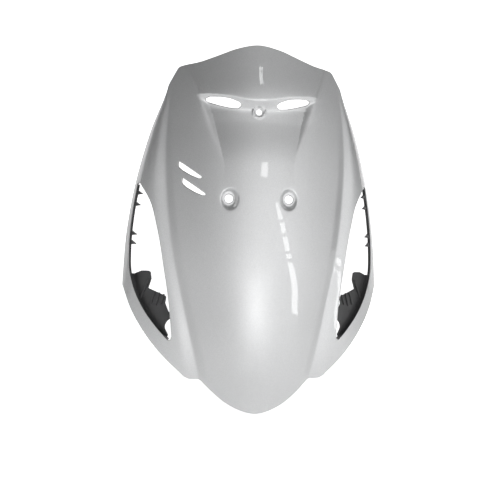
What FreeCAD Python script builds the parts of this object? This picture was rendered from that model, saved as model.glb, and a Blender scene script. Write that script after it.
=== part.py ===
"""Front cover of a scooter: one moulded shell, 2.5 mm thick.

Frame: +Z up along the cover, -Y out of the painted face, +X to the viewer's right.
The origin is midway between the two main screw holes, on the plane of their seats.

The shell is the outer form less a core. Both are lofted from the same cross-sections,
the core's sections being set in by the wall, and every recess is taken out of both.
"""
import FreeCAD, Part
import math
import os

os.makedirs("parts", exist_ok=True)

V = FreeCAD.Vector

# Driving sizes, mm
WALL = 2.5
SCREW_PITCH = 86.0
SCREW_HOLE_R = 6.0
SCREW_SEAT_R = 10.0
SCREW_RIM_R = 15.0
SCREW_RIM_SHIFT = 2.0
SCREW_POCKET_DEPTH = 9.0
SEAT_OVER = 4.0
POCKET_REACH = 35.0
TOP_HOLE_Z = 125.5
TOP_HOLE_R = 4.8
TOP_SEAT_R = 6.5
TOP_SEAT_Y = 9.0
TOP_BACK_Y = 15.0
COLLAR_R = 9.4
COLLAR_Y = 6.5
BROW_MID_Z = 140.5
BROW_EDGE_Z = 152.5
LEDGE_MID_Z = 125.0
LEDGE_EDGE_Z = 138.0
LEDGE_TOP_Z = 155.0
RECESS_WALL_SLOPE = 0.4
RECESS_FLARE = 30.0
SIDE_SHARE = 0.6
VISOR_SIDE = 5.0
VISOR_SINK = 2.0
VISOR_BACK_Y = 80.0
STRIP_SLOPE = 0.30
BULGE = math.radians(20.0)
BRACKET_DEPTH = 9.0
BRACKET_END_Y = 95.0
TOOTH_END_Y = 86.0
BRACKET_WALL = 2.5
RIB_HEIGHT = 2.5
RIB_WIDTH = 2.2
TOOTH_REACH = 5.0
TOOTH_ROOT = 2.5
TOOTH_HIGH = 7.0
TOOTH_DEPTH = 3.5
OVERLAP = 0.8
CORE_RUN_ON = 4.0
RIM_SPARE = 2.0
BACK_IN = 30.0
BACK_Y = 150.0
CUT_END_Y = 170.0
FRONT_Y = -90.0

# Guide lines as (z, value) pairs: depth of the centre line, half width of the hood,
# how far its arc falls back, the step beside it, the wing's ridge and the wing's rim
CENTRE = [(240, 29.5), (150, 7), (0, -13), (-130, -18), (-240, -8), (-322, 26)]
HOOD_X = [(240, 118), (172, 124.5), (75, 126), (0, 120), (-75, 110), (-146, 96),
          (-220, 79), (-262, 69), (-322, 52)]
HOOD_SAG = [(240, 36), (172, 40), (0, 43), (-75, 42), (-146, 38), (-220, 31),
            (-262, 26), (-322, 17)]
STEP_WIDE = [(240, 2), (172, 2), (75, 7), (0, 10), (-146, 10), (-322, 12)]
STEP_DEEP = [(240, 1.5), (172, 1.5), (75, 6), (0, 10), (-146, 11), (-322, 9)]
RIDGE_X = [(240, 123), (172, 128.3), (105, 141), (40, 148), (0, 147), (-75, 138),
           (-146, 121), (-220, 107), (-262, 98.5), (-322, 84)]
RIM_X = [(240, 127), (172, 131), (105, 157), (33, 178.5), (-41, 192.5), (-124, 199),
         (-322, 203)]
RIM_Y = [(240, 75), (172, 58), (105, 71), (33, 85), (-41, 94), (-124, 97), (-322, 92)]
STATIONS = [240, 200, 172, 130, 75, 0, -75, -146, -220, -262, -322]
WING_STATIONS = [20, -30, -75, -120, -170, -220, -262]

# Raised visor and the recess under it, along z
VISOR_X = [(130, 77), (151, 84), (190, 99), (236, 108)]
VISOR_PROUD_MID = [(130, 6), (151, 6), (190, 3.5), (236, 1)]
VISOR_PROUD_EDGE = [(130, 4), (151, 4), (190, 2), (236, 0.5)]
VISOR_STATIONS = [130, 151, 170, 190, 215, 236]
RECESS_X = [(50, 50), (78, 56), (131, 69), (151, 76)]
RECESS_DEEP = [(50, -0.8), (78, 3.0), (105, 6.6), (127, 8.5), (155, 8.5)]
FLOOR_STATIONS = [50, 64, 78, 105, LEDGE_MID_Z]
LEDGE_STATIONS = [LEDGE_MID_Z, LEDGE_EDGE_Z, LEDGE_TOP_Z]


def guide(points, z):
    """Height of the smooth line through (z, value) points at z."""
    pts = sorted(points)
    run = [b[0] - a[0] for a, b in zip(pts, pts[1:])]
    rise = [(b[1] - a[1]) / (b[0] - a[0]) for a, b in zip(pts, pts[1:])]
    slope = [rise[0]]
    for k in range(1, len(rise)):
        slope.append((rise[k - 1] * run[k] + rise[k] * run[k - 1]) / (run[k - 1] + run[k]))
    slope.append(rise[-1])
    k = 0
    while k < len(run) - 1 and z > pts[k + 1][0]:
        k += 1
    t = (z - pts[k][0]) / run[k]
    h = run[k]
    return ((2 * t**3 - 3 * t**2 + 1) * pts[k][1] + (t**3 - 2 * t**2 + t) * h * slope[k]
            + (3 * t**2 - 2 * t**3) * pts[k + 1][1] + (t**3 - t**2) * h * slope[k + 1])


def lean(z):
    """How much longer the wall is in a level section than across its own thickness."""
    return math.hypot(1.0, (guide(CENTRE, z + 1) - guide(CENTRE, z - 1)) / 2.0)


def hood_radius(z):
    x, sag = guide(HOOD_X, z), guide(HOOD_SAG, z)
    return (x * x + sag * sag) / (2 * sag)


def hood_y(x, z):
    """Depth of the hood's arc at x, z."""
    r = hood_radius(z)
    return guide(CENTRE, z) + r - math.sqrt(r * r - x * x)


def meet_circle(p, u, c, r):
    """Where the line p + t u first leaves the circle on the side u points to."""
    dx, dy = p[0] - c[0], p[1] - c[1]
    b = dx * u[0] + dy * u[1]
    root = math.sqrt(max(b * b - (dx * dx + dy * dy - r * r), 0.0))
    best = min((-b - root, -b + root), key=abs)
    return (p[0] + best * u[0], p[1] + best * u[1])


def meet_line(p, u, q, v):
    """Where two lines p + t u and q + s v cross."""
    den = u[0] * v[1] - u[1] * v[0]
    t = ((q[0] - p[0]) * v[1] - (q[1] - p[1]) * v[0]) / den
    return (p[0] + t * u[0], p[1] + t * u[1])


def unit(x, y):
    n = math.hypot(x, y)
    return (x / n, y / n)


def section(z, inset, core):
    """Closed cross-section at z: hood arc, step, strip and wing arc, mirrored, set in."""
    d = inset * lean(z)
    xh, yh = guide(HOOD_X, z), guide(CENTRE, z) + guide(HOOD_SAG, z)
    xs, ys = xh + guide(STEP_WIDE, z), yh + guide(STEP_DEEP, z)
    xr = guide(RIDGE_X, z)
    yr = ys + STRIP_SLOPE * (xr - xs)
    xo, yo = guide(RIM_X, z), guide(RIM_Y, z)
    # Hood circle and the two straight pieces, each moved in by d
    hood_c = (0.0, guide(CENTRE, z) + hood_radius(z))
    hood_r = hood_radius(z) - d
    wall_u, strip_u = unit(xs - xh, ys - yh), unit(1.0, STRIP_SLOPE)
    wall_p = (xh - d * wall_u[1], yh + d * wall_u[0])
    strip_p = (xr - d * strip_u[1], yr + d * strip_u[0])
    # Wing circle through ridge and rim, turning by twice the bulge
    chord = math.hypot(xo - xr, yo - yr)
    wing_r = chord / (2 * math.sin(BULGE))
    a = math.atan2(yo - yr, xo - xr)
    wing_c = ((xr + xo) / 2 - wing_r * math.cos(BULGE) * math.sin(a),
              (yr + yo) / 2 + wing_r * math.cos(BULGE) * math.cos(a))
    edge = meet_circle(wall_p, wall_u, hood_c, hood_r)
    foot = meet_line(wall_p, wall_u, strip_p, strip_u)
    ridge = meet_circle(strip_p, strip_u, wing_c, wing_r - d)
    end = math.atan2(yo - wing_c[1], xo - wing_c[0])
    if core:
        end += (CORE_RUN_ON + 2.0 * (inset - min(inset, WALL))) / wing_r
    start = math.atan2(ridge[1] - wing_c[1], ridge[0] - wing_c[0])

    def wing(angle, r):
        return (wing_c[0] + r * math.cos(angle), wing_c[1] + r * math.sin(angle))

    rim, mid = wing(end, wing_r - d), wing((start + end) / 2, wing_r - d)
    inner = wing(end, wing_r - d - WALL * lean(z) - RIM_SPARE)
    back = (rim[0], CUT_END_Y) if core else (inner[0] - BACK_IN, BACK_Y)

    def at(p, side=1):
        return V(side * p[0], p[1], z)

    def line(p, q):
        return Part.LineSegment(p, q).toShape()

    edges = [Part.Arc(at(rim), at(mid), at(ridge)).toShape(),
             line(at(ridge), at(foot)),
             line(at(foot), at(edge)),
             Part.Arc(at(edge), V(0, hood_c[1] - hood_r, z), at(edge, -1)).toShape(),
             line(at(edge, -1), at(foot, -1)),
             line(at(foot, -1), at(ridge, -1)),
             Part.Arc(at(ridge, -1), at(mid, -1), at(rim, -1)).toShape()]
    if core:
        tail = [at(rim, -1), at(back, -1), at(back), at(rim)]
    else:
        tail = [at(rim, -1), at(inner, -1), at(back, -1), at(back), at(inner), at(rim)]
    edges += [line(p, q) for p, q in zip(tail, tail[1:])]
    return Part.Wire(edges)


def body(inset, core=True):
    """Solid lofted smoothly through the sections at the stations."""
    return Part.makeLoft([section(z, inset, core) for z in STATIONS], True, False)


def layer(inset):
    """Short body behind the wings, with straight runs between its stations."""
    return Part.makeLoft([section(z, inset, True) for z in WING_STATIONS], True, True)


def slab_section(z, front, flare, y_flare, y_far):
    """Closed section: a curve across the front, a flare each side and a far line."""
    half = front.EndPoint.x
    pts = [front.EndPoint, V(half + flare, y_flare, z), V(half + flare, y_far, z),
           V(-half - flare, y_far, z), V(-half - flare, y_flare, z), front.StartPoint]
    edges = [Part.LineSegment(p, q).toShape() for p, q in zip(pts, pts[1:])]
    return Part.Wire(edges + [front.toShape()])


def smooth(pts):
    """Smooth curve through points."""
    curve = Part.BSplineCurve()
    curve.interpolate(pts)
    return curve


def visor(inset):
    """Raised panel over the brow; its proud height fades towards the top edge."""
    wires = []
    for z in VISOR_STATIONS:
        d = inset * lean(z)
        x = guide(VISOR_X, z) - SIDE_SHARE * d
        y_edge = hood_y(x, z) - guide(VISOR_PROUD_EDGE, z) + d
        y_mid = guide(CENTRE, z) - guide(VISOR_PROUD_MID, z) + d
        y_flare = hood_y(x + VISOR_SIDE, z) + VISOR_SINK + d
        front = Part.Arc(V(-x, y_edge, z), V(0, y_mid, z), V(x, y_edge, z))
        wires.append(slab_section(z, front, VISOR_SIDE, y_flare, VISOR_BACK_Y))
    return Part.makeLoft(wires, True, False)


def deep(z, foot, brow, proud):
    """How far the recess lies behind the hood: its floor, then a ledge from foot to brow."""
    floor = guide(RECESS_DEEP, z)
    return floor - (floor + proud) * max(z - foot, 0) / (brow - foot)


def recess(inset):
    """Cutters under the brow: a floor that follows the hood and a ledge that rises to the brow."""

    def wire(z):
        d = inset * lean(z)
        x = guide(RECESS_X, z) + SIDE_SHARE * d
        y_edge = hood_y(x, z) + deep(z, LEDGE_EDGE_Z, BROW_EDGE_Z, guide(VISOR_PROUD_EDGE, z)) + d
        y_mid = guide(CENTRE, z) + deep(z, LEDGE_MID_Z, BROW_MID_Z, guide(VISOR_PROUD_MID, z)) + d
        front = Part.Arc(V(-x, y_edge, z), V(0, y_mid, z), V(x, y_edge, z))
        return slab_section(z, front, RECESS_FLARE, y_edge - RECESS_WALL_SLOPE * RECESS_FLARE, FRONT_Y)

    return [Part.makeLoft([wire(z) for z in FLOOR_STATIONS], True, False),
            Part.makeLoft([wire(z) for z in LEDGE_STATIONS], True, True)]


def pocket(side, inset):
    """Cutter for a main screw pocket: a leaning cone that opens forward from a flat seat."""
    grow = (SCREW_RIM_R - SCREW_SEAT_R) / SCREW_POCKET_DEPTH
    push = inset * math.hypot(1.0, grow)
    axis = V(side * SCREW_RIM_SHIFT, -SCREW_POCKET_DEPTH, 0)
    axis.normalize()
    tip = V(side * SCREW_PITCH / 2, push, 0) - axis * SEAT_OVER
    r_tip = SCREW_SEAT_R - grow * SEAT_OVER
    leaning = Part.makeCone(r_tip, r_tip + grow * POCKET_REACH, POCKET_REACH, tip, axis)
    size = 4 * POCKET_REACH
    front = Part.makeBox(size, size, size, V(side * SCREW_PITCH / 2 - size / 2, push - size, -size / 2))
    return leaning.common(front)


def pockets(inset):
    """Cutters for the two main screw pockets and the top screw's flat seat."""
    seat = Part.makeCylinder(TOP_SEAT_R + inset, POCKET_REACH,
                             V(0, TOP_SEAT_Y + inset - POCKET_REACH, TOP_HOLE_Z), V(0, 1, 0))
    return [pocket(1, inset), pocket(-1, inset), seat]


def outline(*runs):
    """Closed wire in the XZ plane; two points make a line, three an arc, more a smooth curve."""
    edges = []
    for run in runs:
        pts = [V(x, 0, z) for x, z in run]
        if len(pts) == 2:
            edges.append(Part.LineSegment(*pts).toShape())
        elif len(pts) == 3:
            edges.append(Part.Arc(*pts).toShape())
        else:
            edges.append(smooth(pts).toShape())
    return Part.Wire(edges)


def prism(*runs, y0=FRONT_Y, y1=CUT_END_Y):
    """Outline carried from y0 to y1."""
    face = Part.Face(outline(*runs))
    face.translate(V(0, y0, 0))
    return face.extrude(V(0, y1 - y0, 0))


def polygon(*pts, **span):
    """Prism with straight sides."""
    loop = list(pts) + [pts[0]]
    return prism(*[list(pair) for pair in zip(loop, loop[1:])], **span)


def both(shape):
    """The shape and its mirror image."""
    return [shape, shape.mirror(V(0, 0, 0), V(1, 0, 0))]


def flip(run):
    """A run mirrored to the other side, walked the other way."""
    return [(-x, z) for x, z in reversed(run)]


# Front outline, right half from the crown down to the nose
CROWN = [(0, 226.5), (30, 221), (62, 209.5), (88, 202), (108, 200)]
CORNER = [(108, 200), (115.5, 198), (119.5, 192)]
SIDE = [(119.5, 192), (131.5, 171)]
CLEAR_TOP = [(131.5, 171), (215, 60)]
CLEAR_SIDE = [(215, 60), (215, -126)]
KINK = [(215, -126), (199, -127)]
WING_EDGE = [(199, -127), (185, -162), (166, -193), (139, -226), (107, -256.5)]
WING_END = [(107, -256.5), (102, -261), (96, -263)]
WING_FOOT = [(96, -263), (82, -263)]
NOSE = [(82, -263), (63, -281), (41, -298), (0, -311.5), (-41, -298), (-63, -281), (-82, -263)]
RIGHT = [CROWN, CORNER, SIDE, CLEAR_TOP, CLEAR_SIDE, KINK, WING_EDGE, WING_END, WING_FOOT]

# Lamp opening, right side, clockwise from its top point
LAMP_OUT = [(174.5, 26), (182.5, -20), (187, -75), (186, -105), (179.5, -130), (165, -160),
            (143, -189), (129, -204)]
LAMP_LOW = [(129, -204), (125.5, -206), (123, -200)]
LAMP_IN = [(123, -200), (126.3, -160), (135, -100), (145.8, -40), (157, 0), (171, 24)]
LAMP_TOP = [(171, 24), (173, 26.5), (174.5, 26)]

# Intake slot on the right half of the ledge
SLOT_TOP = [(29.5, 138.2), (42, 143), (58, 146), (71, 147)]
SLOT_OUT = [(71, 147), (76, 144.8), (70, 140)]
SLOT_LOW = [(70, 140), (54, 135), (37.5, 131.5), (30, 131)]
SLOT_IN = [(30, 131), (26, 134.4), (29.5, 138.2)]

# Louvres, on the viewer's left only: the outline of one and the step to the other
LOUVRE = [[(-114, 55), (-98, 43.5), (-82.5, 32)],
          [(-82.5, 32), (-82.2, 29.8), (-86, 29.3)],
          [(-86, 29.3), (-98, 35), (-109, 42)],
          [(-109, 42), (-114.3, 48), (-114, 55)]]
LOUVRE_STEP = V(5.5, 0, -24.5)

# Bracket behind the lower end of the lamp opening, right side
PLATE_TOP = [(186, -110), (175, -105), (160, -105), (158, -117), (163, -131), (134, -142),
             (136, -152), (131, -164), (121, -173)]
PLATE_NOTCH = [(121, -173), (131, -177), (136.5, -187), (132, -198)]
PLATE_LOW = [(132, -198), (129, -207)]
PLATE_OUT = [(129, -207), (147, -190), (169, -161), (184, -131), (188.5, -110)]
FLANGE_IN = [(130.5, -204.5), (144.5, -189.5), (166.5, -160.5), (181.5, -130), (186.5, -110)]
RIBS = [((136, -139), (141, -154)), ((143, -137), (149, -156)), ((150, -135), (157, -155)),
        ((160, -118), (173, -146))]
TEETH = [(175.8, 13), (178.8, -4), (184, -48), (185, -62)]

# Outer form and core
collar = Part.makeCylinder(COLLAR_R, TOP_BACK_Y - COLLAR_Y, V(0, COLLAR_Y, TOP_HOLE_Z), V(0, 1, 0))
outer = body(0.0, core=False).fuse(visor(0.0)).cut(recess(0.0)).fuse(collar).cut(pockets(0.0))
core = body(WALL).fuse(visor(WALL)).cut(recess(WALL) + pockets(WALL) + [collar])
shell = outer.cut(core)

# Trim to the front outline, then open the lamps, slots, louvres and screw holes
shell = shell.common(prism(*RIGHT, NOSE, *[flip(run) for run in reversed(RIGHT)]))
openings = both(prism(LAMP_OUT, LAMP_LOW, LAMP_IN, LAMP_TOP))
openings += both(prism(SLOT_TOP, SLOT_OUT, SLOT_LOW, SLOT_IN))
openings += [prism(*LOUVRE).translated(LOUVRE_STEP * k) for k in (0, 1)]
for x, z, r in ((SCREW_PITCH / 2, 0, SCREW_HOLE_R), (-SCREW_PITCH / 2, 0, SCREW_HOLE_R),
                (0, TOP_HOLE_Z, TOP_HOLE_R)):
    openings.append(Part.makeCylinder(r, BACK_Y - FRONT_Y, V(x, FRONT_Y, z), V(0, 1, 0)))
shell = shell.cut(openings)

# Lamp bracket: a plate parallel to the wing, carried by a flange along the opening's edge
near = layer(WALL - OVERLAP)
rib_front = layer(BRACKET_DEPTH - RIB_HEIGHT)
plate_front = layer(BRACKET_DEPTH)
plate_back = layer(BRACKET_DEPTH + BRACKET_WALL)
tooth_back = layer(WALL + TOOTH_DEPTH)
plate = prism(*[list(p) for p in zip(PLATE_TOP, PLATE_TOP[1:])], PLATE_NOTCH, PLATE_LOW, PLATE_OUT,
              [PLATE_OUT[-1], PLATE_TOP[0]], y1=BRACKET_END_Y)
pieces = [plate_front.common(plate).cut(plate_back)]
flange = prism(FLANGE_IN, [FLANGE_IN[-1], PLATE_OUT[-1]], PLATE_OUT[::-1],
               [PLATE_OUT[0], FLANGE_IN[0]], y1=BRACKET_END_Y)
pieces.append(near.common(flange).cut(plate_back))
for (x0, z0), (x1, z1) in RIBS:
    rib = polygon((x0, z0), (x0 + RIB_WIDTH, z0), (x1 + RIB_WIDTH, z1), (x1, z1), y1=BRACKET_END_Y)
    pieces.append(rib_front.common(rib).cut(plate_back))
for x, z in TEETH:
    root, low = x + TOOTH_ROOT, z - TOOTH_HIGH / 2
    tooth = polygon((root, low + TOOTH_HIGH), (root, low), (x - TOOTH_REACH, low), y1=TOOTH_END_Y)
    pieces.append(near.common(tooth).cut(tooth_back))
shell = shell.fuse([side for piece in pieces for side in both(piece)])

front_cover = shell.removeSplitter()
front_cover.exportStep("parts/front_cover.step")
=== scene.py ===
# %% [markdown]
# # Front cover of a scooter
# This lesson dresses one moulded part: the painted shield at the front of a small scooter.
# The solid model is already packed, and it gives the frame: millimetre sizes, +Z up along the
# cover, -Y out of the painted face, and the origin midway between the two main screws.
# The cover is a thin wall, so it is rebuilt here as one smooth sheet with rounded edges.

# %% Load the frame
import bpy
import numpy as np
from mathutils import Matrix, Vector


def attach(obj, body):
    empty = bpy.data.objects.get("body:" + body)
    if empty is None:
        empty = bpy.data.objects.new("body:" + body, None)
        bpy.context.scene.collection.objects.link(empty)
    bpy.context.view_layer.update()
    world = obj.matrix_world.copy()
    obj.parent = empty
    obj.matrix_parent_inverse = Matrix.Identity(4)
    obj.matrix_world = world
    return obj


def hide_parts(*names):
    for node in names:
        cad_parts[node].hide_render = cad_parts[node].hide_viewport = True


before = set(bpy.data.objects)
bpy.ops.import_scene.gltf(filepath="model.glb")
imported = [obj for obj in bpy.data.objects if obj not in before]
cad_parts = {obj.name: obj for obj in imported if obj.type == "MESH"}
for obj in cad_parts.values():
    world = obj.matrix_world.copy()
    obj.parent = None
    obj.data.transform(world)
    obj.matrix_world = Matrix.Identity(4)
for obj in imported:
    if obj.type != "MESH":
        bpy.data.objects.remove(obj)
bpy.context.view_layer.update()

MM = 0.001

# %% [markdown]
# ## Guide lines
# A body panel is drawn from a few long lines that run down it: the centre line, the edge of the
# raised hood, the foot of the step beside it, the ridge of the wing and its outer rim.
# Each is given by a handful of points along z, with a smooth curve through them.
# The lines of the centre, hood, ridge and rim also made the solid, so the two stay together.

# %% Lines that run down the cover
CENTRE = [(240, 29.5), (150, 7), (0, -13), (-130, -18), (-240, -8), (-322, 26)]
HOOD_X = [(240, 118), (172, 124.5), (75, 126), (0, 120), (-75, 110), (-146, 96),
          (-220, 79), (-262, 69), (-322, 52)]
HOOD_SAG = [(240, 36), (172, 40), (0, 43), (-75, 42), (-146, 38), (-220, 31),
            (-262, 26), (-322, 17)]
STEP_WIDE = [(240, 2), (172, 2), (75, 7), (0, 10), (-146, 10), (-322, 12)]
STEP_DEEP = [(240, 1.5), (172, 1.5), (75, 6), (0, 10.5), (-146, 12), (-322, 11)]
RIDGE_X = [(240, 123), (172, 128.3), (105, 141), (40, 148), (0, 147), (-75, 138),
           (-146, 121), (-220, 107), (-262, 98.5), (-322, 84)]
RIM_X = [(240, 127), (172, 131), (105, 157), (33, 178.5), (-41, 192.5), (-124, 199),
         (-322, 203)]
RIM_Y = [(240, 75), (172, 58), (105, 71), (33, 85), (-41, 94), (-124, 97), (-322, 92)]
STRIP_SLOPE = [(240, 0.3), (-75, 0.24), (-200, 0.11), (-322, 0.1)]
WING_BULGE = [(240, 20), (-75, 20), (-180, 17), (-262, 13), (-322, 12)]


def guide_line(points, z):
    """Smooth line through (z, value) points: a cubic from each point to the next, whose slope at
    a point is the mean of the slopes on its two sides, the nearer side counting more."""
    at, value = np.array(sorted(points), float).T
    run = np.diff(at)
    rise = np.diff(value) / run
    inner = (rise[:-1] * run[1:] + rise[1:] * run[:-1]) / (run[:-1] + run[1:])
    slope = np.concatenate([rise[:1], inner, rise[-1:]])
    z = np.clip(z, at[0], at[-1])
    k = np.clip(np.searchsorted(at, z) - 1, 0, len(run) - 1)
    t = (z - at[k]) / run[k]
    start = (2 * t**3 - 3 * t**2 + 1) * value[k] + (t**3 - 2 * t**2 + t) * run[k] * slope[k]
    end = (3 * t**2 - 2 * t**3) * value[k + 1] + (t**3 - t**2) * run[k] * slope[k + 1]
    return start + end


print("hood half width at the screws", float(guide_line(HOOD_X, 0.0)), "mm")

# %% [markdown]
# ## The painted face as a depth map
# Seen from the front, every point of the face has one depth y, so the whole face is a function
# of x and z. Larger y is further back. Joining two forms takes the nearer or the further of two
# depths, and a softened minimum or maximum leaves a rounded edge instead of a knife edge.

# %% Soft joins
def soft_max(a, b, r):
    """Larger of a and b, rounded over about r where they cross."""
    return 0.5 * (a + b + np.sqrt((a - b) ** 2 + r * r))


def soft_min(a, b, r):
    """Smaller of a and b, rounded over about r where they cross."""
    return 0.5 * (a + b - np.sqrt((a - b) ** 2 + r * r))


print("a soft maximum rises over a crossing by", soft_max(0.0, 0.0, 1.0), "of its radius")

# %% [markdown]
# ## The plain cover
# A level section through the cover is, from the centre out, a bowed hood, a short step down from
# its edge, a narrow strip and a wing that turns back to the rim. Each is one simple curve.
# The hood bows a little less near its edge than the solid's circle does, by up to 2 mm, the step is
# up to 2 mm deeper, and the strip faces more to the front low down, so that the light catches them
# as it does on the real part.

# %% Hood, step, strip and wing
HOOD_EASE = 0.12
EDGE_ROUND = 1.0
STEP_FOOT_ROUND = 1.2
ARC_REACH = 0.985
RIDGE_FALL = 0.03


def hood_depth(x, z):
    """Depth of the hood: in each level section a parabola through the hood's two edges and the
    centre line, less a little of the fourth power, so that it turns less near the edge."""
    share = (x / guide_line(HOOD_X, z)) ** 2
    bow = share * (1 + HOOD_EASE - HOOD_EASE * share)
    return guide_line(CENTRE, z) + guide_line(HOOD_SAG, z) * bow


def base_depth(x, z):
    """Depth of the plain cover. From the centre out: the hood's bow, the drafted step down from
    its edge, the flat strip beside it, and the wing's arc that turns back to the rim. Inside its
    ridge the arc goes on along its tangent and falls away with the square of the distance."""
    x = np.abs(x)
    xh = guide_line(HOOD_X, z)
    yh = guide_line(CENTRE, z) + guide_line(HOOD_SAG, z)
    wide, deep = guide_line(STEP_WIDE, z), guide_line(STEP_DEEP, z)
    xs, ys = xh + wide, yh + deep
    xr, xo, yo = guide_line(RIDGE_X, z), guide_line(RIM_X, z), guide_line(RIM_Y, z)
    slope, bulge = guide_line(STRIP_SLOPE, z), np.radians(guide_line(WING_BULGE, z))
    yr = ys + slope * (xr - xs)
    step = yh + (x - xh) * deep / wide
    strip = ys + slope * (x - xs)
    chord = np.hypot(xo - xr, yo - yr)
    radius = chord / (2 * np.sin(bulge))
    lean = np.arctan2(yo - yr, xo - xr)
    cx = (xr + xo) / 2 - radius * np.cos(bulge) * np.sin(lean)
    cy = (yr + yo) / 2 + radius * np.cos(bulge) * np.cos(lean)
    reach = np.clip(x - cx, 0, ARC_REACH * radius)
    before = np.maximum(xr - x, 0)
    wing = cy - np.sqrt(radius**2 - np.maximum(reach, xr - cx) ** 2)
    wing = wing - before * np.tan(lean - bulge) - RIDGE_FALL * before**2
    hood = soft_max(hood_depth(x, z), step, EDGE_ROUND)
    return soft_max(soft_min(hood, strip, STEP_FOOT_ROUND), wing, EDGE_ROUND)


print("face at the origin", round(float(base_depth(np.array(0.0), np.array(0.0))), 2), "mm")

# %% [markdown]
# ## Visor, brow and recess
# Above the slots the panel swells forward into a visor and ends in a brow. Under the brow a
# ledge slopes back to a shallow recess, which narrows downwards and fades into the hood.
# The visor is joined with a soft minimum, because it stands in front of the hood; the recess
# is taken out with a soft maximum.

# %% Visor and recess
VISOR_SIDE = 5.0
VISOR_SINK = 2.0
BROW_SLOPE = 0.95
VISOR_X = [(139, 81), (151, 84), (190, 99), (236, 108)]
VISOR_PROUD_MID = [(130, 6), (151, 6), (190, 3.5), (236, 1)]
VISOR_PROUD_EDGE = [(139, 4), (151, 4), (190, 2), (236, 0.5)]
RECESS_X = [(50, 50), (78, 56), (131, 69), (151, 76)]
BROW_LINE = [(0, 140.5), (12, 140.8), (42, 147), (60, 150), (84, 152.5)]
LEDGE_FOOT = [(0, 128), (45, 133), (70, 139.5), (84, 147.5)]
LEDGE_END = 84.0
LEDGE_ROUND = 5.0
RECESS_DEEP = [(50, -4.5), (78, 1.6), (105, 6.1), (131, 8.5)]
RECESS_FADE = 0.15
RECESS_WALL_SLOPE = 0.4


def brow_height(x):
    """Height of the brow line at x: it hangs in the middle and is level outside the ledge."""
    return guide_line(BROW_LINE, np.minimum(np.abs(x), LEDGE_END))


def visor_depth(x, z):
    """Depth of the visor: a shallow parabola from edge to edge, a short flare outside it, and a
    slope back under the brow."""
    x = np.abs(x)
    half = guide_line(VISOR_X, z)
    edge = hood_depth(half, z) - guide_line(VISOR_PROUD_EDGE, z)
    mid = guide_line(CENTRE, z) - guide_line(VISOR_PROUD_MID, z)
    foot = hood_depth(half + VISOR_SIDE, z) + VISOR_SINK
    front = mid + (edge - mid) * (np.minimum(x, half) / half) ** 2
    flare = np.maximum(x - half, 0) * (foot - edge) / VISOR_SIDE
    return front + flare + BROW_SLOPE * np.maximum(brow_height(x) - z, 0)


def recess_depth(x, z):
    """Depth of the recess: a floor set back from the hood, side walls that lean out, and a ledge
    that rises from the floor to the brow. Below its lowest guide point the floor rises out of the
    hood in a straight line."""
    x = np.abs(x)
    half = guide_line(RECESS_X, z)
    lowest, deepest = RECESS_DEEP[0][0], RECESS_DEEP[-1][1]
    floor = guide_line(RECESS_DEEP, z) - RECESS_FADE * np.maximum(lowest - z, 0)
    foot = guide_line(LEDGE_FOOT, np.minimum(x, LEDGE_END))
    rise = (deepest + VISOR_PROUD_MID[0][1]) / (brow_height(x) - foot)
    deep = soft_min(floor, deepest - rise * (z - foot), LEDGE_ROUND)
    edge = hood_depth(half, z) + deep
    mid = guide_line(CENTRE, z) + deep
    front = mid + (edge - mid) * (np.minimum(x, half) / half) ** 2
    return front - RECESS_WALL_SLOPE * np.maximum(x - half, 0)


print("brow at the centre", float(brow_height(np.array(0.0))), "mm, at its ends", BROW_LINE[-1][1], "mm")

# %% [markdown]
# ## Screw pockets
# Each main screw sits on a flat seat at the bottom of a leaning cone, a little taller than wide, so
# that its head is below the paint. The top screw has a smaller, shallower seat under the brow.
# For a leaning cone the depth at a point comes from a quadratic: how far forward must one go
# for the oval of that level to reach the point?

# %% Pockets and seats
SCREW_PITCH = 86.0
SCREW_HOLE_R = 6.0
SCREW_SEAT_R = 9.0
SCREW_RIM_R = 15.0
SCREW_RIM_SHIFT = 2.0
SCREW_POCKET_TALL = 1.16
SCREW_POCKET_DEPTH = 9.0
POCKET_ROUND = 1.0
TOP_HOLE_Z = 125.5
TOP_HOLE_R = 4.2
TOP_SEAT_R = 6.5
TOP_SEAT_Y = 9.0
COLLAR_R = 9.4
COLLAR_Y = 6.5
RING_STEEP = 3.0
RING_ROUND = 0.6


def pocket_depth(x, z):
    """Depth of the main pockets: the seat inside its oval, the leaning cone outside it."""
    grow = (SCREW_RIM_R - SCREW_SEAT_R) / SCREW_POCKET_DEPTH
    shift = SCREW_RIM_SHIFT / SCREW_POCKET_DEPTH
    dx = np.abs(x) - SCREW_PITCH / 2
    a = grow**2 - shift**2
    b = shift * dx + SCREW_SEAT_R * grow
    c = dx**2 + (z / SCREW_POCKET_TALL)**2 - SCREW_SEAT_R**2
    forward = (np.sqrt(np.maximum(b * b + a * c, 0)) - b) / a
    return -soft_max(forward, 0.0, POCKET_ROUND)


def seat_depth(x, z):
    """Depth of the top screw's seat: flat, with a steep wall around it."""
    reach = np.hypot(x, z - TOP_HOLE_Z) - TOP_SEAT_R
    return TOP_SEAT_Y - RING_STEEP * soft_max(reach, 0.0, RING_ROUND)


def collar_depth(x, z):
    """Depth of the raised collar round the top screw: a flat ring with a steep outer wall."""
    reach = np.hypot(x, z - TOP_HOLE_Z) - COLLAR_R
    return COLLAR_Y + RING_STEEP * soft_max(reach, 0.0, RING_ROUND)


print("recess of a pocket at its seat", round(float(pocket_depth(SCREW_PITCH / 2, 0.0)), 2), "mm")

# %% [markdown]
# ## The whole face
# All the forms are now put together, the raised ones before the hollow ones, each with the rounding
# that its edge has on the real part. A tight edge gives a thin line of light, and a wide one a soft
# shade. The slopes of the result give the normal at every point, for the wall and for the shading.

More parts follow.
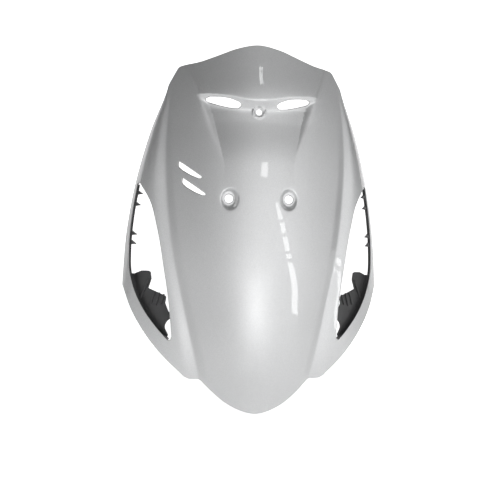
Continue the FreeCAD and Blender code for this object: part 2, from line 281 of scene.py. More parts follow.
# %% The whole face
VISOR_ROUND = 3.0
RECESS_ROUND_Z = [110, 140]
RECESS_ROUND = [5.0, 1.8]
POCKET_RIM_ROUND = 1.4
RING_RIM_ROUND = 1.0
SLOPE_REACH = 0.2


def face_depth(x, z):
    """Depth of the whole painted face: the nearer of cover and visor, then the further of that and
    the recess, the pockets and the top screw's seat. The recess has crisp edges at the brow, and
    softer ones further down."""
    y = soft_min(base_depth(x, z), visor_depth(x, z), VISOR_ROUND)
    y = soft_max(y, recess_depth(x, z), np.interp(z, RECESS_ROUND_Z, RECESS_ROUND))
    y = soft_max(y, pocket_depth(x, z), POCKET_RIM_ROUND)
    y = soft_min(y, collar_depth(x, z), RING_RIM_ROUND)
    return soft_max(y, seat_depth(x, z), RING_RIM_ROUND)


def face_normal(x, z):
    """Unit normal that points out of the paint, from the slopes of the depth along x and z."""
    h = SLOPE_REACH
    sx = (face_depth(x + h, z) - face_depth(x - h, z)) / (2 * h)
    sz = (face_depth(x, z + h) - face_depth(x, z - h)) / (2 * h)
    n = np.stack([sx, -np.ones_like(sx), sz], -1)
    return n / np.linalg.norm(n, axis=-1, keepdims=True)


print("seat of a screw", round(float(face_depth(np.array(SCREW_PITCH / 2), np.array(0.0))), 2), "mm")

# %% [markdown]
# ## Outlines
# The sheet ends at the front outline and is open at the lamps, slots, louvres and screw holes.
# Each outline is a closed run of points. From it comes a signed distance: how far a point lies
# outside the outline, or, as a negative number, inside it.

# %% Outlines seen from the front
CROWN = [(0, 226.5), (30, 221), (62, 209.5), (88, 202), (108, 200)]
CORNER = [(108, 200), (115.5, 198), (119.5, 192)]
SHOULDER_Z = 171.0
KINK_Z = -127.0
WING_EDGE = [(199, -127), (185, -162), (166, -193), (139, -226), (107, -256.5)]
WING_END = [(107, -256.5), (102, -261), (96, -263)]
NOSE = [(82, -263), (63, -281), (41, -298), (0, -311.5)]
LAMP = [[(174.5, 26), (182.5, -20), (187, -75), (186, -105), (179.5, -130), (165, -160),
         (143, -189), (129, -204)],
        [(129, -204), (125.5, -206), (123, -200)],
        [(123, -200), (126.3, -160), (135, -100), (145.8, -40), (157, 0), (171, 24)],
        [(171, 24), (173, 26.5), (174.5, 26)]]
SLOT = [[(29.5, 138.2), (42, 143), (58, 146), (71, 147)],
        [(71, 147), (76, 144.8), (70, 140)],
        [(70, 140), (54, 135), (37.5, 131.5), (30, 131)],
        [(30, 131), (26, 134.4), (29.5, 138.2)]]
LOUVRE = [[(-114, 55), (-98, 43.5), (-82.5, 32)],
          [(-82.5, 32), (-82.2, 29.8), (-86, 29.3)],
          [(-86, 29.3), (-98, 35), (-109, 42)],
          [(-109, 42), (-114.3, 48), (-114, 55)]]
LOUVRE_STEP = np.array([5.5, -24.5])


def smooth_run(points, each=10):
    """Points along a smooth curve through the given ones: a cubic per span, with the slope at a
    point taken from its two neighbours over the lengths of the spans."""
    p = np.array(points, float)
    if len(p) == 2:
        return p
    length = np.concatenate([[0], np.cumsum(np.linalg.norm(np.diff(p, axis=0), axis=1))])
    at = np.linspace(0, length[-1], each * (len(p) - 1) + 1)
    return np.stack([guide_line(list(zip(length, p[:, k])), at) for k in (0, 1)], -1)


def closed_loop(runs):
    """One loop from runs that follow each other, with shared ends kept once."""
    return np.concatenate([smooth_run(run)[:-1] for run in runs])


def signed_distance(x, z, loop):
    """Distance from each point to the nearest side of the loop, negative inside. A point is inside
    when a ray from it crosses the loop an odd number of times."""
    best = np.full(x.shape, 1e9)
    inside = np.zeros(x.shape, bool)
    for (ax, az), (bx, bz) in zip(loop, np.roll(loop, -1, axis=0)):
        ux, uz = bx - ax, bz - az
        t = np.clip(((x - ax) * ux + (z - az) * uz) / (ux * ux + uz * uz + 1e-12), 0, 1)
        best = np.minimum(best, np.hypot(x - ax - t * ux, z - az - t * uz))
        if az != bz:
            between = (az > z) != (bz > z)
            inside ^= between & (x < ax + (z - az) * ux / uz)
    return np.where(inside, -best, best)


def mirrored_run(points):
    """A half run that ends on the centre line, carried on to the other side."""
    return points + [(-x, z) for x, z in points[-2::-1]]


rim_z = np.linspace(SHOULDER_Z, KINK_Z, 40)
right_side = np.concatenate([smooth_run(CORNER), np.stack([guide_line(RIM_X, rim_z), rim_z], -1),
                             smooth_run(WING_EDGE)[1:-1], smooth_run(WING_END)])
OUTLINE = np.concatenate([smooth_run(mirrored_run(CROWN[::-1]))[::-1], right_side[1:],
                          smooth_run(mirrored_run(NOSE)), (right_side * [-1, 1])[:0:-1]])
LAMP_LOOP, SLOT_LOOP, LOUVRE_LOOP = closed_loop(LAMP), closed_loop(SLOT), closed_loop(LOUVRE)
print("outline points", len(OUTLINE), "lamp points", len(LAMP_LOOP))


def cover_region(x, z):
    """Signed distance of the sheet seen from the front: inside the outline, outside each opening."""
    region = signed_distance(x, z, OUTLINE)
    for loop in (LAMP_LOOP, SLOT_LOOP):
        region = np.maximum(region, -signed_distance(np.abs(x), z, loop))
    for k in (0, 1):
        region = np.maximum(region, -signed_distance(x, z, LOUVRE_LOOP + k * LOUVRE_STEP))
    region = np.maximum(region, SCREW_HOLE_R - np.hypot(np.abs(x) - SCREW_PITCH / 2, z))
    return np.maximum(region, TOP_HOLE_R - np.hypot(x, z - TOP_HOLE_Z))


# %% [markdown]
# ## From a region to a closed wall
# A grid of points covers the front. Cells that the region's edge crosses are clipped, with new
# points where the distance is zero. The kept sheet is copied inwards by the wall along its
# normals, and a half-round rim joins the two sheets all the way round every edge, as a moulded
# edge is. Every point gets the normal of the true surface, so the shading is smooth.

# %% Clip a grid to a region
NEAR_CORNER = 0.04


def clip_grid(x, z, region):
    """Keeps the part of a grid where the region is negative. Walking round each cell, a corner is
    kept if it is inside, and a side that changes sign gives its crossing point, a little away from
    the corners, so that no face shrinks to nothing.
    Returns the points' x and z and the faces, grouped by their number of corners."""
    rows, cols = x.shape
    keep = region < 0
    corner = np.arange(rows * cols).reshape(rows, cols)

    def crossings(a, b, first):
        mask = keep[a] != keep[b]
        t = region[a] / (region[a] - region[b] + 1e-12)
        t = np.clip(t, NEAR_CORNER, 1 - NEAR_CORNER)[mask]
        number = np.full(mask.shape, -1)
        number[mask] = first + np.arange(mask.sum())
        return number, [(p[a][mask] * (1 - t) + p[b][mask] * t) for p in (x, z)]

    across, at_across = crossings(np.s_[:, :-1], np.s_[:, 1:], rows * cols)
    count = rows * cols + len(at_across[0])
    along, at_along = crossings(np.s_[:-1, :], np.s_[1:, :], count)
    px = np.concatenate([x.ravel(), at_across[0], at_along[0]])
    pz = np.concatenate([z.ravel(), at_across[1], at_along[1]])
    ring = [corner[:-1, :-1], across[:-1], corner[:-1, 1:], along[:, 1:],
            corner[1:, 1:], across[1:], corner[1:, :-1], along[:, :-1]]
    kept = [keep[:-1, :-1], keep[:-1, 1:], keep[1:, 1:], keep[1:, :-1]]
    case = sum(k.astype(int) << n for n, k in enumerate(kept))
    groups = {}
    for number in range(1, 16):
        inside = [bool(number >> n & 1) for n in range(4)]
        walk = [w for n in range(4) for w in ([2 * n] * inside[n]
                + [2 * n + 1] * (inside[n] != inside[(n + 1) % 4]))]
        cells = case == number
        faces = np.stack([ring[w][cells] for w in walk], -1)
        groups.setdefault(len(walk), []).append(faces)
    groups = {n: np.concatenate(parts) for n, parts in groups.items()}
    used = np.unique(np.concatenate([faces.ravel() for faces in groups.values()]))
    renumber = np.full(len(px), -1)
    renumber[used] = np.arange(len(used))
    return px[used], pz[used], {n: renumber[faces] for n, faces in groups.items()}


try_x, try_z = np.meshgrid(np.linspace(-2, 2, 9), np.linspace(-2, 2, 9))
tried = clip_grid(try_x, try_z, np.hypot(try_x, try_z) - 1.5)[2]
print("a disc clipped from a grid has faces with", sorted(tried), "corners")

# %% [markdown]
# ## The wall and its rim
# The clipped sheet becomes a closed wall. The painted side runs round the front quarter of the rim. The
# rest of the rim takes the dark finish of the back, which draws a thin dark line round every edge, and
# the whole back is bare plastic.

# %% Give the clipped sheet its wall
RIM_TURNS = np.radians([45.0, 90.0, 135.0])
AWAY_REACH = 0.3


def moulded_wall(x, z, region, front, back):
    """Closed wall between two depths under the paint. The grid is clipped half a wall inside the
    region, and the rim bulges out by that half, as a half circle from front to back.
    Returns points, normals, faces and a flag per face for the painted side."""
    half = (back - front) / 2
    px, pz, groups = clip_grid(x, z, region(x, z) + half)
    normal = face_normal(px, pz)
    skin = np.stack([px, face_depth(px, pz), pz], -1)
    count = len(px)
    edges = np.concatenate([np.stack([f.ravel(), np.roll(f, -1, axis=1).ravel()], -1)
                            for f in groups.values()])
    code, back_code = edges @ [count, 1], edges @ [1, count]
    edges = edges[~np.isin(code, back_code)]
    rim = np.unique(edges)
    h = AWAY_REACH
    rx, rz = px[rim], pz[rim]
    away = np.stack([region(rx + h, rz) - region(rx - h, rz), np.zeros(len(rim)),
                     region(rx, rz + h) - region(rx, rz - h)], -1)
    away -= (away * normal[rim]).sum(-1, keepdims=True) * normal[rim]
    away /= np.linalg.norm(away, axis=-1, keepdims=True) + 1e-12
    turned = [np.cos(a) * normal[rim] + np.sin(a) * away for a in RIM_TURNS]
    middle = skin[rim] - (front + half) * normal[rim]
    points = [skin - front * normal, skin - back * normal] + [middle + half * t for t in turned]
    normals = [normal, -normal] + turned
    place = np.full(count, -1)
    place[rim] = np.arange(len(rim))
    level = [edges]
    level += [2 * count + k * len(rim) + place[edges] for k in range(len(turned))]
    level.append(edges + count)
    faces, painted = [], []
    for f in groups.values():
        faces += [f, f[:, ::-1] + count]
        painted += [np.ones(len(f), bool), np.zeros(len(f), bool)]
    for k, (a, b) in enumerate(zip(level, level[1:])):
        faces.append(np.stack([a[:, 1], a[:, 0], b[:, 0], b[:, 1]], -1))
        # only the front band of the rim is painted; the later bands take the dark finish, a thin dark
        # line round every edge
        painted.append(np.full(len(a), k < 1))
    return np.concatenate(points), np.concatenate(normals), faces, painted


print("bands in a rim", len(RIM_TURNS) + 1)

# %% [markdown]
# ## The cover's sheet
# The columns of the grid follow the guide lines, so the hood's edge, the foot of the step and the
# wing's ridge each lie on one column and stay crisp. Rows and columns are closer together at the
# screw pockets and under the brow, where the form turns quickly.

# %% Grid that follows the guide lines
WALL = 2.5
SHEET_LOW, SHEET_HIGH = -315, 230
ROW_STEP, COLUMN_STEP, FINE_STEP = 2.45, 2.2, 1.3
FINE_ROWS = [(0, 19), (132, 24)]
FINE_COLUMNS = [(44.5, 17)]
STEP_CELLS, STRIP_CELLS, WING_CELLS = 6, 7, 21
RIM_SPARE = 3.0
GRADING_SAMPLES = 6000


def graded(low, high, step, fine, places):
    """Positions from low to high, one step apart, but closer (fine) within reach of given places."""
    at = np.linspace(low, high, GRADING_SAMPLES)
    density = np.full(at.shape, 1 / step)
    for middle, reach in places:
        density = np.where(np.abs(at - middle) < reach, 1 / fine, density)
    count = np.concatenate([[0], np.cumsum(0.5 * (density[1:] + density[:-1]) * np.diff(at))])
    return np.interp(np.linspace(0, count[-1], int(count[-1]) + 2), count, at)


row_z = graded(SHEET_LOW, SHEET_HIGH, ROW_STEP, FINE_STEP, FINE_ROWS)
hood_edge = guide_line(HOOD_X, row_z)
hood_at_screws = float(guide_line(HOOD_X, 0.0))
hood_share = graded(0, hood_at_screws, COLUMN_STEP, FINE_STEP, FINE_COLUMNS) / hood_at_screws
shares = [hood_share] + [np.linspace(0, 1, n + 1)[1:] for n in (STEP_CELLS, STRIP_CELLS, WING_CELLS)]
lines_x = [0 * row_z, hood_edge, hood_edge + guide_line(STEP_WIDE, row_z),
           guide_line(RIDGE_X, row_z), guide_line(RIM_X, row_z) + RIM_SPARE]
half_x = np.concatenate([start[:, None] + (end - start)[:, None] * share[None]
                         for start, end, share in zip(lines_x, lines_x[1:], shares)], axis=1)
grid_x = np.concatenate([-half_x[:, :0:-1], half_x], axis=1)
grid_z = np.repeat(row_z[:, None], grid_x.shape[1], axis=1)
parts = [(moulded_wall(grid_x, grid_z, cover_region, 0.0, WALL), False)]
print("grid", grid_x.shape, "points in the wall", len(parts[0][0][0]))

# %% [markdown]
# ## Lamp brackets and clip teeth
# Through each lamp opening one sees the bare plastic behind the paint: a plate with ribs and a
# round notch, carried by a flange along the opening's lower edge, and small teeth that the lamp
# clips over, on a thin lining of the outer edge. The plate is a wall like the cover's, only deeper.
# The rest are bars: a rounded rectangle carried along a path that lies under the face.

# %% Bracket shapes
PLATE = [[(188.5, -110), (175, -105)], [(175, -105), (160, -105)], [(160, -105), (158, -117)],
         [(158, -117), (163, -131)], [(163, -131), (134, -142)], [(134, -142), (136, -152)],
         [(136, -152), (131, -164)], [(131, -164), (121, -173)],
         [(121, -173), (131, -177), (136.5, -187), (132, -198)], [(132, -198), (129, -207)],
         [(129, -207), (147, -190), (169, -161), (184, -131), (188.5, -110)]]
LINING = [(176.6, 25), (184.6, -20), (189.1, -75), (188.1, -105), (184.2, -122)]
LINING_DEPTH = 5.6
FLANGE = [(130, -205.5), (146, -190), (168, -160.5), (182.7, -130.5), (187.5, -110)]
RIBS = [((137, -139), (142, -154)), ((144, -137), (150, -156)), ((151, -135), (158, -155)),
        ((161, -118), (174, -146))]
TEETH = [(175.8, 13), (178.8, -4), (184, -48), (185, -62)]
BRACKET_DEPTH = 9.0
BRACKET_WALL = 2.5
RIB_HEIGHT = 2.5
TOOTH_ROOT = 2.5
TOOTH_REACH = 5.0
TOOTH_DROP = 2.5
TOOTH_WIDE = [7.0, 1.2]
TOOTH_DEPTH = 3.0
FLANGE_WIDE = 2.5
LINING_WIDE = 1.6
RIB_WIDE = 2.2
BAR_SINK = 0.8
BAR_ROUND = 0.6
PLATE_LOOP = closed_loop(PLATE)


def rounded_bar(path, width, front, back, radius=BAR_ROUND):
    """Closed bar under the face. At each point of the path, the section is a rectangle with round
    corners, its width across the path and its height from the front to the back depth."""
    x, z = path.T
    normal = face_normal(x, z)
    spine = np.stack([x, face_depth(x, z), z], -1)
    across = np.cross(normal, np.gradient(spine, axis=0))
    across /= np.linalg.norm(across, axis=-1, keepdims=True)
    turn = np.radians(np.array([0, 45, 90])[None, :] + np.array([0, 90, 180, 270])[:, None]).ravel()
    side = np.repeat([[1, 1], [-1, 1], [-1, -1], [1, -1]], 3, axis=0)
    out = np.stack([np.cos(turn), np.sin(turn)], -1)
    width = np.broadcast_to(width, x.shape)[:, None]
    a = side[:, 0] * np.maximum(width / 2 - radius, 0.05) + radius * out[:, 0]
    d = (front + back) / 2 + side[:, 1] * ((back - front) / 2 - radius) + radius * out[:, 1]
    ring = spine[:, None] + a[..., None] * across[:, None] - d[:, None] * normal[:, None]
    turned = out[:, 0, None] * across[:, None] - out[:, 1, None] * normal[:, None]
    rows, cols = ring.shape[:2]
    k, c = np.meshgrid(np.arange(rows - 1), np.arange(cols), indexing="ij")
    right = (c + 1) % cols
    sides = np.stack([k * cols + c, k * cols + right, (k + 1) * cols + right, (k + 1) * cols + c], -1)
    ends = np.stack([np.arange(cols) + rows * cols, np.arange(cols)[::-1] + (rows + 1) * cols])
    heading = np.stack([spine[0] - spine[1], spine[-1] - spine[-2]])
    heading /= np.linalg.norm(heading, axis=-1, keepdims=True)
    points = np.concatenate([ring.reshape(-1, 3), ring[0], ring[-1]])
    normals = np.concatenate([turned.reshape(-1, 3), np.repeat(heading, cols, axis=0)])
    faces = [sides.reshape(-1, 4), ends]
    return points, normals, faces, [np.zeros(len(f), bool) for f in faces]


def mirrored(wall):
    """The same wall on the other side, with its faces turned round."""
    points, normals, faces, painted = wall
    return points * [-1, 1, 1], normals * [-1, 1, 1], [f[:, ::-1] for f in faces], painted


print("points round the plate", len(PLATE_LOOP))

# %% Brackets, ribs and teeth in place
PLATE_CELL = 2.0
TOOTH_RINGS = 6
RIB_RINGS = 8


def plate_region(x, z):
    """Signed distance of the bracket's plate seen from the front."""
    return signed_distance(x, z, PLATE_LOOP)


plate_x, plate_z = np.meshgrid(np.arange(117, 193, PLATE_CELL), np.arange(-211, -100, PLATE_CELL))
bare = [moulded_wall(plate_x, plate_z, plate_region, BRACKET_DEPTH, BRACKET_DEPTH + BRACKET_WALL)]
bare.append(rounded_bar(smooth_run(FLANGE), FLANGE_WIDE, WALL - BAR_SINK, BRACKET_DEPTH + 1.0))
bare.append(rounded_bar(smooth_run(LINING), LINING_WIDE, WALL - BAR_SINK, LINING_DEPTH))
for start, end in RIBS:
    path = np.linspace(start, end, RIB_RINGS)
    bare.append(rounded_bar(path, RIB_WIDE, BRACKET_DEPTH - RIB_HEIGHT, BRACKET_DEPTH + 0.5))
for x, z in TEETH:
    path = np.linspace((x + TOOTH_ROOT, z), (x - TOOTH_REACH, z - TOOTH_DROP), TOOTH_RINGS)
    taper = np.linspace(*TOOTH_WIDE, TOOTH_RINGS)
    bare.append(rounded_bar(path, taper, WALL - BAR_SINK, WALL + TOOTH_DEPTH))
parts += [(wall, True) for wall in bare] + [(mirrored(wall), True) for wall in bare]
print("walls and bars", len(parts))

# %% [markdown]
# ## One mesh for the moulding
# The cover is one moulding, so all its walls go into one mesh with two finishes: paint on the
# outside and bare dark plastic inside.

# %% Build the mesh
def build_mesh(name, parts):
    """Joins walls into one mesh. Each wall brings its points, normals, faces and painted flags."""
    points = np.concatenate([p[0] for p, bare in parts]) * MM
    normals = np.concatenate([p[1] for p, bare in parts])
    faces, slots, first = [], [], 0
    for (pts, facing, groups, painted), bare in parts:
        for group, flag in zip(groups, painted):
            turned = np.cross(pts[group[:, 1]] - pts[group[:, 0]], pts[group[:, 2]] - pts[group[:, 0]])
            wrong = (turned * facing[group].mean(axis=1)).sum(-1) < 0
            faces += (np.where(wrong[:, None], group[:, ::-1], group) + first).tolist()
            slots.append(np.where(flag & (not bare), 0, 1))
        first += len(pts)
    mesh = bpy.data.meshes.new(name)
    mesh.from_pydata(points.tolist(), [], faces)
    mesh.polygons.foreach_set("material_index", np.concatenate(slots).astype(np.int32))
    mesh.polygons.foreach_set("use_smooth", np.ones(len(faces), bool))
    mesh.normals_split_custom_set_from_vertices(normals.tolist())
    mesh.update()
    piece = bpy.data.objects.new(name, mesh)
    bpy.context.scene.collection.objects.link(piece)
    return piece


cover = build_mesh("front_cover_moulding", parts)
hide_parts("front_cover")
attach(cover, "root")
print("faces", len(cover.data.polygons))

# %% [markdown]
# ## Finishes
# The paint is a pale silver: a base full of fine flakes under a clear coat. Flakes make the base
# half diffuse and half metallic, and the coat above it mirrors lamps sharply. The inside is bare
# black plastic with the fine grain of a textured mould.

# %% Silver paint
CLOUD_SHARE = 0.7


def new_finish(name):
    """New node material: the material itself, its nodes and its links."""
    material = bpy.data.materials.new(name)
    material.use_nodes = True
    return material, material.node_tree.nodes, material.node_tree.links


def silver_paint():
    """Flake cells a third of a millimetre wide shift the base colour and tilt the surface a
    little, and slow clouds vary it by a few hundredths across the panel."""
    material, nodes, links = new_finish("silver_paint")
    shader = nodes["Principled BSDF"]
    shader.inputs["Metallic"].default_value = 0.6
    shader.inputs["Coat Weight"].default_value = 1.0
    shader.inputs["Coat Roughness"].default_value = 0.02
    shader.inputs["Coat IOR"].default_value = 1.5
    where = nodes.new("ShaderNodeTexCoord")
    flakes = nodes.new("ShaderNodeTexVoronoi")
    flakes.inputs["Scale"].default_value = 2600.0
    clouds = nodes.new("ShaderNodeTexNoise")
    clouds.inputs["Scale"].default_value = 9.0
    clouds.inputs["Detail"].default_value = 3.0
    mix = nodes.new("ShaderNodeMath")
    mix.operation = "MULTIPLY_ADD"
    mix.inputs[1].default_value = CLOUD_SHARE
    tone = nodes.new("ShaderNodeValToRGB")
    tone.color_ramp.elements[0].position = 0.25
    tone.color_ramp.elements[0].color = (0.545, 0.55, 0.555, 1)
    tone.color_ramp.elements[1].position = 1.25 / (1 + CLOUD_SHARE)
    tone.color_ramp.elements[1].color = (0.645, 0.65, 0.655, 1)
    sheen = nodes.new("ShaderNodeMapRange")
    sheen.inputs["To Min"].default_value = 0.45
    sheen.inputs["To Max"].default_value = 0.55
    tilt = nodes.new("ShaderNodeBump")
    tilt.inputs["Strength"].default_value = 0.05
    tilt.inputs["Distance"].default_value = 0.0002
    flake_value = nodes.new("ShaderNodeSeparateColor")
    links.new(where.outputs["Object"], flakes.inputs["Vector"])
    links.new(where.outputs["Object"], clouds.inputs["Vector"])
    links.new(flakes.outputs["Color"], flake_value.inputs["Color"])
    links.new(clouds.outputs["Fac"], mix.inputs[0])
    links.new(flake_value.outputs["Red"], mix.inputs[2])
    mean = nodes.new("ShaderNodeMath")
    mean.operation = "DIVIDE"
    mean.inputs[1].default_value = 1 + CLOUD_SHARE
    links.new(mix.outputs[0], mean.inputs[0])
    links.new(mean.outputs[0], tone.inputs["Fac"])
    links.new(tone.outputs["Color"], shader.inputs["Base Color"])
    links.new(flake_value.outputs["Green"], sheen.inputs["Value"])
    links.new(sheen.outputs["Result"], shader.inputs["Roughness"])
    links.new(flake_value.outputs["Blue"], tilt.inputs["Height"])
    links.new(tilt.outputs["Normal"], shader.inputs["Normal"])
    return material


cover.data.materials.append(silver_paint())
print("paint", cover.data.materials[0].name)

# %% [markdown]
# ## Bare plastic
# The back, the brackets and the teeth are not painted. The plastic is dark grey, and its
# highlight is broad, because the mould's grain tilts it in all directions.

# %% Bare plastic
def bare_plastic():
    """Near-black plastic: fine grain tilts it, and slow clouds make some parts a little duller."""
    material, nodes, links = new_finish("bare_plastic")
    shader = nodes["Principled BSDF"]
    where = nodes.new("ShaderNodeTexCoord")
    grain = nodes.new("ShaderNodeTexNoise")
    grain.inputs["Scale"].default_value = 900.0
    grain.inputs["Detail"].default_value = 4.0
    clouds = nodes.new("ShaderNodeTexNoise")
    clouds.inputs["Scale"].default_value = 25.0
    tone = nodes.new("ShaderNodeValToRGB")
    tone.color_ramp.elements[0].position = 0.3
    tone.color_ramp.elements[0].color = (0.030, 0.030, 0.031, 1)
    tone.color_ramp.elements[1].position = 0.7
    tone.color_ramp.elements[1].color = (0.062, 0.062, 0.064, 1)
    dull = nodes.new("ShaderNodeMapRange")
    dull.inputs["To Min"].default_value = 0.32
    dull.inputs["To Max"].default_value = 0.5
    tilt = nodes.new("ShaderNodeBump")
    tilt.inputs["Strength"].default_value = 0.25
    tilt.inputs["Distance"].default_value = 0.0004
    links.new(where.outputs["Object"], grain.inputs["Vector"])
    links.new(where.outputs["Object"], clouds.inputs["Vector"])
    links.new(clouds.outputs["Fac"], tone.inputs["Fac"])
    links.new(tone.outputs["Color"], shader.inputs["Base Color"])
    links.new(clouds.outputs["Fac"], dull.inputs["Value"])
    links.new(dull.outputs["Result"], shader.inputs["Roughness"])
    links.new(grain.outputs["Fac"], tilt.inputs["Height"])
    links.new(tilt.outputs["Normal"], shader.inputs["Normal"])
    return material


cover.data.materials.append(bare_plastic())
print("finishes", [m.name for m in cover.data.materials])

# %% [markdown]
# ## Camera
# The camera looks level at the cover from a little to its left, with a slight roll.
# Its lens follows from the distance and from how many millimetres one pixel of the picture covers
# there: lens / sensor width = distance / picture width.

# %% Camera
YAW = np.radians(-6.2)
ROLL = np.radians(0.6)
DISTANCE = 0.970
MM_PER_PIXEL = 1.41
PHOTO_WIDTH = 500
AIM = np.array([-13.0, -8.0, -72.5]) * MM
back = np.array([np.sin(YAW), -np.cos(YAW), 0.0])
level = np.array([np.cos(YAW), np.sin(YAW), 0.0])
upright = np.array([0.0, 0.0, 1.0])
right = np.cos(ROLL) * level + np.sin(ROLL) * upright
up = -np.sin(ROLL) * level + np.cos(ROLL) * upright
eye = AIM + DISTANCE * back
camera_data = bpy.data.cameras.new("photo_camera")
camera_data.sensor_width = 36.0
camera_data.lens = DISTANCE / (MM_PER_PIXEL * MM) * 36.0 / PHOTO_WIDTH
camera = bpy.data.objects.new("photo_camera", camera_data)
turn = np.eye(4)
turn[:3, 0], turn[:3, 1], turn[:3, 2], turn[:3, 3] = right, up, back, eye
camera.matrix_world = Matrix(turn.tolist())
bpy.context.scene.collection.objects.link(camera)
bpy.context.scene.camera = camera
print("lens", round(camera_data.lens, 2), "mm")

# %% [markdown]
# ## The room
# Silver paint shows the room it stands in. This room is bright in front and below, dimmer at the
# sides and behind, and darkest above on the left. The world is a plain gradient in that direction,
# with one dark corner taken out of it.

# %% World gradient
BRIGHT_SIDE = np.array([0.0, -0.7, -0.71])
DARK_SIDE = np.array([-0.65, -0.4, 0.65])
DARK_FROM = 0.6
DARKEST, BRIGHTEST = 0.02, 1.3
GROWS_FROM, GROWS_TO = -0.35, 0.5


def studio_world():
    """Grey world whose level grows smoothly as the direction looked in turns to the bright side:
    the dot product of the two directions, spread between the darkest and the brightest level.
    That level fades to nothing as the direction turns to the dark side."""
    world = bpy.data.worlds.new("studio")
    bpy.context.scene.world = world
    world.use_nodes = True
    nodes, links = world.node_tree.nodes, world.node_tree.links
    where = nodes.new("ShaderNodeTexCoord")
    ranges = []
    for side, low, high, start, end in [(BRIGHT_SIDE, GROWS_FROM, GROWS_TO, DARKEST, BRIGHTEST),
                                        (DARK_SIDE, DARK_FROM, 1.0, 1.0, 0.0)]:
        dot = nodes.new("ShaderNodeVectorMath")
        dot.operation = "DOT_PRODUCT"
        dot.inputs[1].default_value = side / np.linalg.norm(side)
        spread = nodes.new("ShaderNodeMapRange")
        spread.interpolation_type = "SMOOTHSTEP"
        spread.inputs["From Min"].default_value = low
        spread.inputs["From Max"].default_value = high
        spread.inputs["To Min"].default_value = start
        spread.inputs["To Max"].default_value = end
        links.new(where.outputs["Generated"], dot.inputs[0])
        links.new(dot.outputs["Value"], spread.inputs["Value"])
        ranges.append(spread.outputs["Result"])
    level = nodes.new("ShaderNodeMath")
    level.operation = "MULTIPLY"
    links.new(ranges[0], level.inputs[0])
    links.new(ranges[1], level.inputs[1])
    links.new(level.outputs[0], nodes["Background"].inputs["Strength"])
    nodes["Background"].inputs["Color"].default_value = (1.0, 1.0, 1.0, 1.0)
    return world


room = studio_world()
bpy.context.scene.view_settings.view_transform = "Standard"
print("world", room.name, "from", DARKEST, "to", BRIGHTEST)

# %% [markdown]
# ## Windows
# The clear coat mirrors a long window on the right as a white stripe down the hood, broken by the
# window's bars. Two small panes give the short glints on the visor and between the screws. A pane's
# corners were found by mirroring the sight line at the glint.

# %% Window
LONG_WINDOW = np.array([[[0.53, -1.06, 0.26], [0.62, -1.02, 0.265]],
                        [[1.045, -0.65, -0.36], [1.125, -0.5, -0.385]]])
LOW_PANE = np.array([[[0.174, -1.090, 0.540], [0.326, -1.059, 0.537]],
                     [[0.174, -1.135, 0.410], [0.332, -1.103, 0.406]]])
HIGH_PANE = np.array([[[0.131, -0.760, 1.097], [0.201, -0.751, 1.093]],
                      [[0.143, -0.817, 1.028], [0.216, -0.805, 1.026]]])
LONG_BARS = [(0.0, 0.15), (0.18, 0.28), (0.31, 0.45), (0.48, 0.53), (0.57, 1.0)]
WINDOW_LEVEL = 7.0


def window_panes(corners, panes, level):
    """Sheet of glowing four-cornered panes, each between two shares of the way down the window."""
    top, bottom = corners
    rows = [top + (bottom - top) * share for pane in panes for share in pane]
    faces = [(4 * k, 4 * k + 1, 4 * k + 3, 4 * k + 2) for k in range(len(panes))]
    mesh = bpy.data.meshes.new("studio_window")
    mesh.from_pydata(np.concatenate(rows).tolist(), [], faces)
    window = bpy.data.objects.new("studio_window", mesh)
    material, nodes, links = new_finish("window_glow")
    nodes["Principled BSDF"].inputs["Base Color"].default_value = (0, 0, 0, 1)
    nodes["Principled BSDF"].inputs["Emission Color"].default_value = (1, 1, 1, 1)
    nodes["Principled BSDF"].inputs["Emission Strength"].default_value = level
    mesh.materials.append(material)
    bpy.context.scene.collection.objects.link(window)
    return window


window_panes(LONG_WINDOW, LONG_BARS, WINDOW_LEVEL)
for pane in (LOW_PANE, HIGH_PANE):
    window_panes(pane, [(0.0, 1.0)], WINDOW_LEVEL)
print("panes in the long window", len(LONG_BARS))

# %% [markdown]
# ## Soft lamp
# Low on the hood lies a broad sheen with a bright heart: a soft lamp behind the camera.
# An oval that is bright in the middle and fades to nothing at its rim leaves no edge in the paint.

# %% Soft lamp
SOFT_LAMP = np.array([0.03, -1.21, -0.31])
SOFT_WIDE = 1.3
SOFT_TALL = 0.5
SOFT_LEVEL = 4.4
SOFT_POWER = 3.0
SOFT_CORNERS = 32


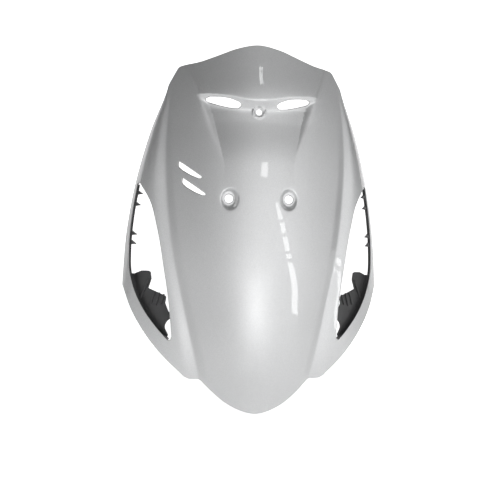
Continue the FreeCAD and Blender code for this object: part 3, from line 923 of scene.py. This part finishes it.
def soft_lamp(centre, wide, tall, level):
    """Glowing oval that faces the cover and hides nothing behind it: its light is added to what is
    seen through it. The level is a power of the share of the radius left from a point to the rim."""
    turn = np.linspace(0, 2 * np.pi, SOFT_CORNERS + 1)[:-1]
    circle = np.stack([np.cos(turn), np.sin(turn), 0 * turn], -1)
    mesh = bpy.data.meshes.new("studio_soft_lamp")
    mesh.from_pydata(circle.tolist(), [], [list(range(SOFT_CORNERS))])
    lamp = bpy.data.objects.new("studio_soft_lamp", mesh)
    away = Vector((AIM - centre).tolist())
    facing = away.to_track_quat("Z", "Y").to_matrix().to_4x4()
    stretch = Matrix.Diagonal((wide, tall, 1, 1))
    lamp.matrix_world = Matrix.Translation(centre.tolist()) @ facing @ stretch
    material, nodes, links = new_finish("soft_glow")
    nodes.remove(nodes["Principled BSDF"])
    haze = nodes.new("ShaderNodeEmission")
    clear = nodes.new("ShaderNodeBsdfTransparent")
    both = nodes.new("ShaderNodeAddShader")
    where = nodes.new("ShaderNodeTexCoord")
    far = nodes.new("ShaderNodeVectorMath")
    far.operation = "LENGTH"
    left = nodes.new("ShaderNodeMapRange")
    left.inputs["To Min"].default_value = 1.0
    left.inputs["To Max"].default_value = 0.0
    fall = nodes.new("ShaderNodeMath")
    fall.operation = "POWER"
    fall.inputs[1].default_value = SOFT_POWER
    shine = nodes.new("ShaderNodeMath")
    shine.operation = "MULTIPLY"
    shine.inputs[1].default_value = level
    links.new(where.outputs["Object"], far.inputs[0])
    links.new(far.outputs["Value"], left.inputs["Value"])
    links.new(left.outputs["Result"], fall.inputs[0])
    links.new(fall.outputs[0], shine.inputs[0])
    links.new(shine.outputs[0], haze.inputs["Strength"])
    links.new(haze.outputs[0], both.inputs[0])
    links.new(clear.outputs[0], both.inputs[1])
    links.new(both.outputs[0], nodes["Material Output"].inputs["Surface"])
    mesh.materials.append(material)
    bpy.context.scene.collection.objects.link(lamp)
    return lamp


glow = soft_lamp(SOFT_LAMP, SOFT_WIDE, SOFT_TALL, SOFT_LEVEL)
print("soft lamp", 2 * SOFT_WIDE, "by", 2 * SOFT_TALL, "m")

# %% [markdown]
# ## Floor and backdrop
# A white sheet runs under the cover and turns up behind it. It glows only for looks that meet it
# directly, in a mirror or through glass, so it is white to the eye but adds no light to the cover,
# and the cover's shadow still falls on it.

# %% Floor and backdrop
FLOOR_Z = -0.60
FLOOR_FRONT, FLOOR_BEND = -5.0, 2.5
FLOOR_HALF_WIDE = 7.0
BEND_R = 1.0
BACKDROP_TALL = 6.0
FLOOR_GLOW = 0.85


def floor_sheet():
    """Floor that turns up into a wall: a straight run, a quarter circle and a straight rise,
    carried sideways."""
    bend = np.linspace(0, np.pi / 2, 13)
    curve = np.stack([FLOOR_BEND + BEND_R * np.sin(bend), BEND_R * (1 - np.cos(bend))], -1)
    run = np.concatenate([[[FLOOR_FRONT, 0.0]], curve, [[FLOOR_BEND + BEND_R, BACKDROP_TALL]]])
    side = np.linspace(-FLOOR_HALF_WIDE, FLOOR_HALF_WIDE, 9)
    grid = np.broadcast_arrays(side[:, None], run[None, :, 0], FLOOR_Z + run[None, :, 1])
    points = np.stack(grid, -1)
    n = len(run)
    corner = (np.arange(len(side) - 1)[:, None] * n + np.arange(n - 1)[None, :]).ravel()
    faces = np.stack([corner, corner + n, corner + n + 1, corner + 1], -1)
    mesh = bpy.data.meshes.new("studio_floor")
    mesh.from_pydata(points.reshape(-1, 3).tolist(), [], faces.tolist())
    mesh.polygons.foreach_set("use_smooth", np.ones(len(faces), bool))
    floor = bpy.data.objects.new("studio_floor", mesh)
    bpy.context.scene.collection.objects.link(floor)
    return floor


def pale_floor_finish():
    """White card: a diffuse sheet, plus a glow that only direct, mirrored and see-through looks meet."""
    material, nodes, links = new_finish("pale_floor")
    shader = nodes["Principled BSDF"]
    shader.inputs["Base Color"].default_value = (0.9, 0.9, 0.9, 1)
    shader.inputs["Roughness"].default_value = 0.9
    shader.inputs["Emission Color"].default_value = (1, 1, 1, 1)
    path = nodes.new("ShaderNodeLightPath")
    seen = nodes.new("ShaderNodeMath")
    seen.operation = "MAXIMUM"
    mirrored_too = nodes.new("ShaderNodeMath")
    mirrored_too.operation = "MAXIMUM"
    glow = nodes.new("ShaderNodeMath")
    glow.operation = "MULTIPLY"
    glow.inputs[1].default_value = FLOOR_GLOW
    links.new(path.outputs["Is Camera Ray"], seen.inputs[0])
    links.new(path.outputs["Is Transmission Ray"], seen.inputs[1])
    links.new(seen.outputs[0], mirrored_too.inputs[0])
    links.new(path.outputs["Is Glossy Ray"], mirrored_too.inputs[1])
    links.new(mirrored_too.outputs[0], glow.inputs[0])
    links.new(glow.outputs[0], shader.inputs["Emission Strength"])
    return material


floor = floor_sheet()
floor.data.materials.append(pale_floor_finish())
print("floor at", FLOOR_Z, "m")
